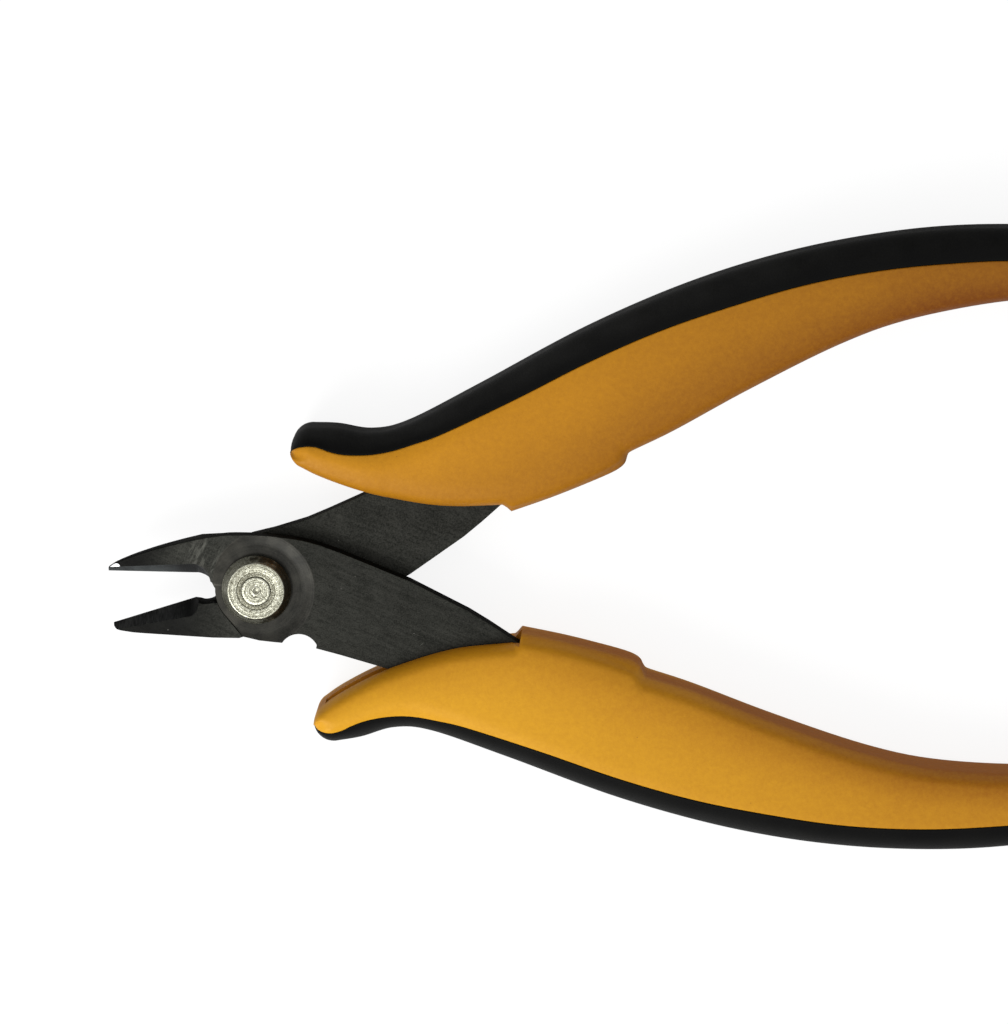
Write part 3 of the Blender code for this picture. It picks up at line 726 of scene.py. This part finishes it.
def make_pivot(steel, washer_steel):
    floor = DISH_FLOOR + PLATE_BACK
    pocket = HEAD_TOP - 0.7
    sleeve = [
        (PIN_BORE, SLEEVE_END),
        (SLEEVE_RADIUS - 0.1, SLEEVE_END),
        (SLEEVE_RADIUS, SLEEVE_END + 0.1),
        (SLEEVE_RADIUS, floor),
        (HEAD_RADIUS - 0.08, floor),
        (HEAD_RADIUS, floor + 0.06),
        (HEAD_RADIUS, floor + 0.44),
        (HEAD_RADIUS - 0.03, floor + 0.48),
        (HEAD_RADIUS - 0.08, floor + 0.52),
        (HEAD_RADIUS - 0.12, floor + 0.6),
    ]
    sleeve += [(HEAD_FACE + out, HEAD_TOP - deep) for out, deep in RIM_STEPS]
    sleeve += [(radius, HEAD_TOP - deep) for radius, deep in HEAD_STEPS]
    sleeve += [
        (PIN_HEAD + PIN_GAP, HEAD_TOP - 0.15),
        (PIN_HEAD + PIN_GAP, pocket),
        (PIN_BORE, pocket),
    ]
    head = turned("pivot_sleeve_turned", sleeve)
    head.data.materials.append(steel)
    washer_top = SLEEVE_END - PIN_GAP
    washer_bottom = washer_top - WASHER_THICK
    pin_profile = [
        (0.0, PEEN_END),
        (PEEN_RADIUS - 0.7, PEEN_END + 0.02),
        (PEEN_RADIUS - 0.3, PEEN_END + 0.08),
        (PEEN_RADIUS - 0.08, PEEN_END + 0.2),
        (PEEN_RADIUS, PEEN_END + 0.34),
        (PEEN_RADIUS, washer_bottom - PIN_GAP),
        (PIN_RADIUS, washer_bottom - PIN_GAP),
        (PIN_RADIUS, pocket + PIN_GAP),
        (PIN_HEAD, pocket + PIN_GAP),
        (PIN_HEAD, HEAD_TOP - 0.12),
        (PIN_HEAD - 0.04, HEAD_TOP - 0.03),
        (PIN_HEAD - 0.12, HEAD_TOP),
    ]
    pin_profile += [(radius, HEAD_TOP - deep) for radius, deep in PIN_STEPS]
    pin = turned("pivot_pin_turned", pin_profile)
    pin.data.materials.append(steel)
    washer = turned("spring_washer_turned", [
        (PIN_BORE, washer_bottom + 0.06),
        (PIN_BORE + 0.06, washer_bottom),
        (WASHER_RADIUS - 0.12, washer_bottom),
        (WASHER_RADIUS, washer_bottom + 0.12),
        (WASHER_RADIUS, washer_top - 0.12),
        (WASHER_RADIUS - 0.12, washer_top),
        (PIN_BORE, washer_top),
    ])
    washer.data.materials.append(washer_steel)
    for obj, node, slot in (
        (head, "pivot_sleeve", "turned_steel"),
        (pin, "pivot_pin", "turned_steel"),
        (washer, "spring_washer", "spring_steel"),
    ):
        finish_mesh(obj, 30.0)
        finish_piece(obj, node, "back_half")


def hook(place, leg_z, end_z, towards):
    """The bent end of a leg: up out of the hole and round into the leg on a small arc."""
    along = (Vector(towards[:2]) - Vector(place)).normalized()
    points = [(place[0], place[1], end_z)]
    for k in range(9):
        angle = math.pi / 2.0 * k / 8
        run = HOOK_BEND * (1.0 - math.cos(angle))
        rise = HOOK_BEND * (1.0 - math.sin(angle))
        points.append((place[0] + along.x * run, place[1] + along.y * run, leg_z + rise))
    return points


def spring_path():
    """The wire's centre line: hook, leg, coil round the sleeve, leg, hook."""
    reach = math.hypot(*LEG_HOLE)
    lean = math.atan2(LEG_HOLE[1], LEG_HOLE[0])
    tangent = lean + math.acos(COIL_RADIUS / reach)
    turn = 2.0 * math.pi + 2.0 * (math.pi - tangent)
    steps = 100
    coil = []
    for k in range(steps + 1):
        angle = tangent + turn * k / steps
        z = UPPER_LEG_Z + (LOWER_LEG_Z - UPPER_LEG_Z) * k / steps
        coil.append((COIL_RADIUS * math.cos(angle), COIL_RADIUS * math.sin(angle), z))
    upper = hook(LEG_HOLE, UPPER_LEG_Z, -PLATE_FRONT + LEG_HOLE_DEPTH - 0.15, coil[0])
    lower = hook((LEG_HOLE[0], -LEG_HOLE[1]), LOWER_LEG_Z, PLATE_BACK + LEG_HOLE_DEPTH - 0.15, coil[-1])
    upper_leg = [tuple(Vector(upper[-1]).lerp(Vector(coil[0]), k / 8)) for k in range(1, 8)]
    lower_leg = [tuple(Vector(coil[-1]).lerp(Vector(lower[-1]), k / 8)) for k in range(1, 8)]
    return upper + upper_leg + coil + lower_leg + lower[::-1]


def sweep(name, path, radius, sides):
    """A round wire along a path, with ends that are slightly rounded."""
    points = [Vector(p) for p in path]
    rings = []
    across = Vector((1.0, 0.0, 0.0))
    for i, point in enumerate(points):
        along = (points[min(i + 1, len(points) - 1)] - points[max(i - 1, 0)]).normalized()
        across = (across - along * across.dot(along)).normalized()
        other = along.cross(across)
        size = radius * (0.75 if i in (0, len(points) - 1) else 1.0)
        ring = []
        for k in range(sides):
            angle = 2.0 * math.pi * k / sides
            ring.append(tuple(point + (across * math.cos(angle) + other * math.sin(angle)) * size))
        rings.append(ring)
    return skin(name, rings)


def make_spring(material):
    path = spring_path()
    first = Vector(path[0]).lerp(Vector(path[1]), 0.1)
    last = Vector(path[-1]).lerp(Vector(path[-2]), 0.1)
    path = [path[0], tuple(first)] + path[1:-1] + [tuple(last), path[-1]]
    spring = sweep("return_spring_wire", path, WIRE / 2.0, 20)
    spring.data.materials.append(material)
    finish_mesh(spring, 50.0)
    finish_piece(spring, "return_spring", None)
    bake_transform(spring)


# ---- materials ----


def srgb(red, green, blue):
    def linear(value):
        share = value / 255.0
        return share / 12.92 if share <= 0.04045 else ((share + 0.055) / 1.055) ** 2.4

    return (linear(red), linear(green), linear(blue), 1.0)


class Shading:
    """A material's node tree, with texture coordinates in millimetres round the pivot."""

    def __init__(self, name, **constants):
        self.material = bpy.data.materials.new(name)
        self.material.use_nodes = True
        self.tree = self.material.node_tree
        self.shader = self.tree.nodes["Principled BSDF"]
        for socket, value in constants.items():
            self.shader.inputs[socket.replace("_", " ").title().replace("Ior", "IOR")].default_value = value
        coordinates = self.add("TexCoord").outputs["Object"]
        moved = self.vector("SUBTRACT", coordinates, tuple(PIVOT))
        scaled = self.add("VectorMath")
        scaled.operation = "SCALE"
        scaled.inputs["Scale"].default_value = 1.0 / MM
        self.tree.links.new(moved, scaled.inputs[0])
        self.mm = scaled.outputs[0]

    def add(self, kind):
        return self.tree.nodes.new("ShaderNode" + kind)

    def put(self, value, socket):
        """Links an output, or sets a plain value."""
        if isinstance(value, bpy.types.NodeSocket):
            self.tree.links.new(value, socket)
        else:
            socket.default_value = value

    def set(self, name, value):
        self.put(value, self.shader.inputs[name])

    def vector(self, operation, a, b):
        node = self.add("VectorMath")
        node.operation = operation
        self.put(a, node.inputs[0])
        self.put(b, node.inputs[1])
        return node.outputs["Value" if operation == "LENGTH" else "Vector"]

    def length(self, vector):
        return self.vector("LENGTH", vector, (0.0, 0.0, 0.0))

    def math(self, operation, a, b=0.0, clamp=False):
        node = self.add("Math")
        node.operation = operation
        node.use_clamp = clamp
        self.put(a, node.inputs[0])
        self.put(b, node.inputs[1])
        return node.outputs[0]

    def times(self, a, b):
        return self.math("MULTIPLY", a, b)

    def total(self, *parts):
        """The sum of (value, weight) pairs."""
        result = self.times(*parts[0])
        for value, weight in parts[1:]:
            result = self.math("ADD", result, self.times(value, weight))
        return result

    def largest(self, *values):
        result = values[0]
        for value in values[1:]:
            result = self.math("MAXIMUM", result, value)
        return result

    def axis(self, name, vector=None):
        node = self.add("SeparateXYZ")
        self.put(vector or self.mm, node.inputs[0])
        return node.outputs[name]

    def joined(self, x, z=0.0):
        node = self.add("CombineXYZ")
        self.put(x, node.inputs[0])
        self.put(z, node.inputs[2])
        return node.outputs[0]

    def attribute(self, name):
        node = self.add("Attribute")
        node.attribute_name = name
        return node.outputs["Fac"]

    def turned(self, degrees, stretch):
        """Coordinates turned about Z, then stretched."""
        turn = self.add("VectorRotate")
        turn.rotation_type = "Z_AXIS"
        turn.inputs["Angle"].default_value = math.radians(degrees)
        self.put(self.mm, turn.inputs["Vector"])
        return self.vector("MULTIPLY", turn.outputs[0], stretch)

    def noise(self, scale, detail=3.0, roughness=0.5, vector=None):
        node = self.add("TexNoise")
        node.inputs["Scale"].default_value = scale
        node.inputs["Detail"].default_value = detail
        node.inputs["Roughness"].default_value = roughness
        self.put(vector or self.mm, node.inputs["Vector"])
        return node.outputs["Fac"]

    def cells(self, scale, output="Distance"):
        node = self.add("TexVoronoi")
        node.inputs["Scale"].default_value = scale
        self.put(self.mm, node.inputs["Vector"])
        return node.outputs[output]

    def specks(self, scale, size, soft, rare, common):
        """Small round specks in some of the cells of a pattern."""
        chosen = self.band(self.axis("X", self.cells(scale, "Color")), rare, common)
        return self.times(self.band(self.cells(scale), size, soft), chosen)

    def band(self, value, low, high, to_low=0.0, to_high=1.0):
        """Value mapped smoothly from one range to another and clamped."""
        node = self.add("MapRange")
        node.interpolation_type = "SMOOTHSTEP"
        self.put(value, node.inputs["Value"])
        node.inputs["From Min"].default_value = low
        node.inputs["From Max"].default_value = high
        node.inputs["To Min"].default_value = to_low
        node.inputs["To Max"].default_value = to_high
        return node.outputs[0]

    def radius(self):
        """Distance from the pivot's axis."""
        return self.length(self.vector("MULTIPLY", self.mm, (1.0, 1.0, 0.0)))

    def ring(self, radius, inner, outer, soft):
        """1 between two radii, with soft edges."""
        rise = self.band(radius, inner - soft / 2.0, inner + soft / 2.0)
        return self.times(rise, self.band(radius, outer + soft / 2.0, outer - soft / 2.0))

    def mix(self, share, a, b):
        node = self.add("Mix")
        node.data_type = "RGBA"
        self.put(share, node.inputs[0])
        self.put(a, node.inputs[6])
        self.put(b, node.inputs[7])
        return node.outputs[2]

    def bump(self, height, distance, normal=None):
        """Bump whose height is in millimetres times distance."""
        node = self.add("Bump")
        node.inputs["Strength"].default_value = 1.0
        node.inputs["Distance"].default_value = distance * MM
        self.put(height, node.inputs["Height"])
        if normal:
            self.put(normal, node.inputs["Normal"])
        return node.outputs[0]

    def parting_line(self, height, normal):
        """The mould's fine raised line round a grip's middle."""
        seam = self.band(self.math("ABSOLUTE", self.axis("Z")), 0.14, 0.05)
        return self.bump(seam, height, normal)


def black_steel(name, jaw_dark, tip_wear_and_sheen):
    """Burnished black oxide: finely grained, faintly streaked, with specks and a few scratches; on the
    front half, painted sheen streaks near the jaw root and a worn chip at the tip.
    """
    m = Shading(name, metallic=0.85, roughness=0.45, specular_tint=(0.35, 0.35, 0.35, 1.0))
    cloud = m.noise(0.22, 3.0, 0.5)
    grain = m.noise(7.0, 3.0, 0.7)
    streak = m.noise(1.3, 3.0, 0.6, m.turned(28.0, (0.22, 2.2, 1.0)))
    mottle = m.noise(2.4, 3.0, 0.7)
    share = m.total((cloud, 0.12), (grain, 0.5), (streak, 0.18), (mottle, 0.2))
    colour = m.mix(m.band(share, 0.36, 0.64), srgb(20, 21, 18), srgb(54, 54, 50))
    jaw = m.band(m.axis("X"), *jaw_dark)
    colour = m.mix(m.times(jaw, 0.8), colour, srgb(10, 10, 10))
    scratch_noise = m.noise(0.9, 1.0, 0.4, m.turned(-38.0, (0.12, 6.0, 1.0)))
    scratch = m.times(m.band(scratch_noise, 0.72, 0.76), m.band(m.noise(0.3), 0.55, 0.62))
    speck = m.specks(1.1, 0.05, 0.025, 0.86, 0.9)
    marks = m.largest(m.times(speck, 0.6), m.times(scratch, 0.2))
    colour = m.mix(marks, colour, srgb(150, 150, 142))
    if tip_wear_and_sheen:
        # painted sheen: lighter diagonal streaks near the jaw's root stand in for light on the face
        from_sheen = m.vector("MULTIPLY", m.vector("SUBTRACT", m.mm, JAW_SHEEN_PLACE), (1.0, 0.8, 0.3))
        near = m.band(m.length(from_sheen), 3.4, 0.4)
        painted_sheen = m.band(m.noise(0.8, 4.0, 0.7, m.turned(-62.0, (0.35, 2.0, 1.0))), 0.45, 0.7)
        colour = m.mix(m.times(m.times(near, painted_sheen), 0.38), colour, srgb(120, 120, 112))
        chip = m.vector("MULTIPLY", m.vector("SUBTRACT", m.mm, TIP_CHIP), (1.15, 3.0, 0.7))
        ragged = m.math("ADD", m.length(chip), m.times(m.noise(2.5), 0.5))
        colour = m.mix(m.band(ragged, 1.12, 1.0), colour, srgb(235, 236, 238))
    m.set("Base Color", colour)
    m.set("Roughness", m.band(share, 0.3, 0.7, 0.4, 0.54))
    waves = m.bump(m.noise(0.28, 1.0), 0.15)
    m.set("Normal", m.bump(m.math("ADD", grain, streak), 0.006, waves))
    return m.material


def ground_steel(name, dark, light, end):
    """The jaws' ground bevels: finer, with grinding lines across the edge, darker towards the root."""
    m = Shading(name, metallic=0.8, roughness=0.38, specular_tint=(0.5, 0.5, 0.5, 1.0))
    lines = m.noise(2.2, 3.0, 0.6, m.turned(0.0, (5.0, 0.35, 0.35)))
    share = m.total((lines, 0.6), (m.noise(0.6), 0.4))
    colour = m.mix(m.band(share, 0.35, 0.65), dark, light)
    # darker towards the bevel's root
    darker_to_root = m.band(m.math("ADD", m.axis("X"), m.times(m.noise(1.4), 1.6)), -10.2, -7.4)
    m.set("Base Color", m.mix(m.times(darker_to_root, 0.85), colour, end))
    m.set("Roughness", m.band(lines, 0.3, 0.7, 0.32, 0.46))
    m.set("Normal", m.bump(lines, 0.01))
    return m.material


def dish_steel(name, dark, light):
    """The turned recess round the pivot: black oxide over fine turning rings, with a painted sheen of
    lighter patches on its left half.
    """
    m = Shading(name, metallic=0.75, roughness=0.42)
    rings = m.noise(7.0, 2.0, 0.6, m.joined(m.radius()))
    grain = m.noise(8.0, 2.0)
    share = m.total((rings, 0.3), (grain, 0.3), (m.noise(0.5), 0.4))
    colour = m.mix(m.band(share, 0.35, 0.65), dark, light)
    # painted sheen: lighter patches on the dish's left half, the lamp's side
    painted_sheen = m.times(m.band(m.axis("X"), 0.0, -5.0), m.band(m.noise(0.9), 0.3, 0.7, 0.15, 0.55))
    m.set("Base Color", m.mix(painted_sheen, colour, srgb(70, 68, 61)))
    m.set("Roughness", m.band(grain, 0.3, 0.7, 0.36, 0.52))
    m.set("Normal", m.bump(m.math("ADD", rings, grain), 0.01))
    return m.material


def orange_plastic(name, bright, deep, rear_shade, wall_shade):
    """Satin moulded plastic, slightly mottled, with painted shade: browner inwards, towards the rear and
    down its side faces.
    """
    m = Shading(name, roughness=0.5, specular_ior_level=0.15)
    mottle = m.noise(1.6, 6.0, 0.85)
    # painted shade: browner towards the inner edge, towards the rear and down the side faces
    share = m.total(
        (m.band(m.attribute("inward"), 0.2, 1.0), 0.3),
        (m.noise(0.07, 2.0), 0.2),
        (m.band(m.math("ABSOLUTE", m.axis("Z")), 3.6, 0.8), wall_shade),
        (m.band(m.axis("X"), 5.0, 105.0), rear_shade),
    )
    patches = m.times(m.math("SUBTRACT", mottle, 0.5), 0.6)
    colour = m.mix(m.math("ADD", share, patches, clamp=True), bright, deep)
    speck = m.specks(0.55, 0.04, 0.02, 0.9, 0.93)
    m.set("Base Color", m.mix(m.times(speck, 0.7), colour, srgb(110, 60, 20)))
    m.set("Roughness", m.band(mottle, 0.3, 0.7, 0.4, 0.52))
    m.set("Normal", m.parting_line(0.03, m.bump(m.noise(2.6, 3.0, 0.55), 0.02)))
    return m.material


def black_rubber(name):
    """Soft black overmould with a fine grain, and a painted highlight: paler towards its outer edge and
    towards the front.
    """
    m = Shading(name, roughness=0.5, specular_ior_level=0.06)
    grain = m.noise(7.0, 3.0, 0.6)
    share = m.total((grain, 0.5), (m.noise(0.25), 0.5))
    # painted highlight: paler towards the outer edge and towards the jaws
    front = m.band(m.axis("X"), 85.0, 45.0, 0.45, 1.0)
    outward = m.times(m.band(m.attribute("outward"), 0.1, 0.75), front)
    dark = m.mix(outward, srgb(9, 9, 9), srgb(21, 21, 20))
    pale = m.mix(outward, srgb(13, 13, 12), srgb(29, 29, 28))
    m.set("Base Color", m.mix(m.band(share, 0.35, 0.65), dark, pale))
    m.set("Roughness", m.band(share, 0.3, 0.7, 0.38, 0.52))
    m.set("Normal", m.parting_line(0.04, m.bump(grain, 0.035)))
    return m.material


def lathe_steel(name, light, dark, brown):
    """Bright steel from the lathe: fine rings, pits and painted glints; darker rings as painted shade over
    the turned grooves; a brown-tinted flank, painted darker towards +X as shade.
    """
    m = Shading(name, metallic=1.0, roughness=0.3)
    radius = m.radius()
    rings = m.noise(5.0, 3.0, 0.7, m.joined(radius, m.axis("Z")))
    pits = m.noise(4.5, 3.0, 0.85)
    share = m.total((rings, 0.35), (pits, 0.65))
    colour = m.mix(m.band(share, 0.38, 0.58), dark, light)
    # painted shade: darker rings by radius, over the turned grooves, the centre dimple and all outside 1.8
    # mm
    ring_shade = m.largest(
        m.ring(radius, 1.62, 2.3, 0.12),
        m.times(m.ring(radius, 0.66, 1.12, 0.15), 0.4),
        m.times(m.band(radius, 1.6, 1.8), 0.55),
        m.ring(radius, 3.0, 3.12, 0.06),
        m.times(m.band(radius, 0.48, 0.36), 0.8),
    )
    colour = m.mix(m.times(ring_shade, 0.42), colour, dark)
    # painted glints: near-white specks
    glints = m.band(m.noise(7.0, 1.0, 0.5), 0.62, 0.7)
    colour = m.mix(m.times(glints, 0.5), colour, srgb(238, 240, 226))
    # brown tint on the head's flank: partly real tint, painted darker towards +X as shade
    flank = m.band(radius, HEAD_FACE + 0.02, HEAD_FACE + 0.2)
    stain_and_shade = m.band(m.math("ADD", m.noise(1.2, 3.0), m.times(m.axis("X"), 0.08)), 0.3, 0.75)
    stain_and_shade = m.band(stain_and_shade, 0.0, 1.0, 0.25, 0.92)
    m.set("Base Color", m.mix(m.times(flank, stain_and_shade), colour, brown))
    m.set("Roughness", m.band(share, 0.35, 0.65, 0.42, 0.24))
    m.set("Normal", m.bump(m.math("ADD", rings, pits), 0.045))
    return m.material


def drawn_wire(name):
    """Plain spring steel with fine grain and duller patches."""
    m = Shading(name, metallic=1.0, roughness=0.3)
    grain = m.noise(5.0, 4.0, 0.7)
    share = m.total((grain, 0.5), (m.noise(0.8, 2.0), 0.5))
    m.set("Base Color", m.mix(m.band(share, 0.35, 0.65), srgb(108, 108, 106), srgb(168, 167, 162)))
    m.set("Roughness", m.band(grain, 0.3, 0.7, 0.24, 0.42))
    m.set("Normal", m.bump(grain, 0.012))
    return m.material


# ---- set ----


def add_floor():
    """A pale floor that glows a little, so that it stays nearly white."""
    mesh = bpy.data.meshes.new("floor")
    corners = [(x * FLOOR_HALF, y * FLOOR_HALF, FLOOR_Z) for x, y in ((-1, -1), (1, -1), (1, 1), (-1, 1))]
    mesh.from_pydata(corners, [], [(0, 1, 2, 3)])
    floor = bpy.data.objects.new("floor", mesh)
    bpy.context.scene.collection.objects.link(floor)
    material = bpy.data.materials.new("pale_floor")
    material.use_nodes = True
    shader = material.node_tree.nodes["Principled BSDF"]
    shader.inputs["Base Color"].default_value = (FLOOR_BASE, FLOOR_BASE, FLOOR_BASE, 1.0)
    shader.inputs["Emission Color"].default_value = (1.0, 1.0, 1.0, 1.0)
    shader.inputs["Emission Strength"].default_value = FLOOR_GLOW
    shader.inputs["Roughness"].default_value = 0.9
    shader.inputs["Specular IOR Level"].default_value = 0.0
    mesh.materials.append(material)
    floor.visible_glossy = False


def add_lamp():
    """One large soft lamp on the side of the jaws and the lower handle."""
    data = bpy.data.lights.new("lamp", "AREA")
    data.shape = "RECTANGLE"
    data.size = LAMP_SIZE
    data.size_y = LAMP_SIZE
    data.energy = LAMP_POWER
    lamp = bpy.data.objects.new("lamp", data)
    lamp.location = LAMP_PLACE
    direction = Vector(LAMP_AIM) - Vector(LAMP_PLACE)
    lamp.rotation_euler = direction.to_track_quat("-Z", "Y").to_euler()
    bpy.context.scene.collection.objects.link(lamp)


def add_sky():
    """A soft overhead sky that darkens towards the handles' end and the upper handle."""
    world = bpy.data.worlds.new("studio")
    world.use_nodes = True
    tree = world.node_tree
    background = tree.nodes["Background"]
    background.inputs["Color"].default_value = (1.0, 1.0, 1.0, 1.0)
    direction = tree.nodes.new("ShaderNodeTexCoord").outputs["Generated"]

    def towards(way, low, high, dark, bright):
        dot = tree.nodes.new("ShaderNodeVectorMath")
        dot.operation = "DOT_PRODUCT"
        dot.inputs[1].default_value = Vector(way).normalized()
        tree.links.new(direction, dot.inputs[0])
        band = tree.nodes.new("ShaderNodeMapRange")
        band.interpolation_type = "SMOOTHSTEP"
        tree.links.new(dot.outputs["Value"], band.inputs["Value"])
        for name, value in zip(("From Min", "From Max", "To Min", "To Max"), (low, high, dark, bright)):
            band.inputs[name].default_value = value
        return band.outputs[0]

    side = towards((-0.8, -0.6, 0.0), -0.5, 0.9, HORIZON_DARK, HORIZON_BRIGHT)
    lift = towards((0.0, 0.0, 1.0), 0.1, 0.95, 0.0, 1.0)
    mix = tree.nodes.new("ShaderNodeMix")
    tree.links.new(lift, mix.inputs[0])
    tree.links.new(side, mix.inputs[2])
    mix.inputs[3].default_value = ZENITH
    tree.links.new(mix.outputs[0], background.inputs["Strength"])
    bpy.context.scene.world = world
    bpy.context.scene.view_settings.view_transform = "Standard"


def main():
    add_camera()
    add_floor()
    add_sky()
    add_lamp()
    dish = dish_steel("turned_dish", srgb(18, 18, 15), srgb(50, 49, 44))
    back_steels = [
        black_steel("black_oxide", (-2.0, -10.0), False),
        # painted shade: the back (lower) jaw's bevel is given darker colours than the front's, though both
        # are one finish
        ground_steel("ground_bevel", srgb(30, 30, 30), srgb(68, 68, 67), srgb(22, 22, 21)),
        dish,
    ]
    front_steels = [
        black_steel("black_oxide_front", (-8.0, -14.0), True),
        # painted light: the front (upper) jaw's bevel is given lighter, bluer colours, as if lit
        ground_steel("ground_bevel_front_painted_light", srgb(54, 57, 58), srgb(96, 101, 101), srgb(14, 14, 13)),
        dish,
    ]
    front = make_blade("front_blade_ground", FRONT_JAW, 1, front_steels, False)
    finish_piece(front, "front_blade", "front_half")
    back = make_blade("back_blade_ground", BACK_JAW, -1, back_steels, True)
    finish_piece(back, "back_blade", "back_half")
    orange_lit_and_shaded = {
        # one plastic: the lower grip's copy is painted lighter and the upper's darker, as painted light and
        # shade
        "lower": orange_plastic("orange_plastic_lower_painted_light", srgb(216, 158, 32), srgb(148, 86, 14), 0.52, 0.4),
        "upper": orange_plastic("orange_plastic_upper_painted_shade", srgb(196, 134, 22), srgb(118, 64, 9), 0.68, 0.22),
    }
    rubber = black_rubber("black_rubber")
    for side, body, over in (("lower", "front_half", False), ("upper", "back_half", True)):
        core = make_core(side + "_grip_core_moulded", orange_lit_and_shaded[side], over)
        finish_piece(core, side + "_grip_core", body)
        overlay = make_overlay(side + "_grip_overlay_moulded", rubber, over)
        finish_piece(overlay, side + "_grip_overlay", body)
    bright = lathe_steel("lathe_steel", srgb(210, 210, 192), srgb(98, 95, 78), srgb(60, 54, 41))
    make_pivot(bright, drawn_wire("washer_steel"))
    make_spring(drawn_wire("drawn_wire"))


main()
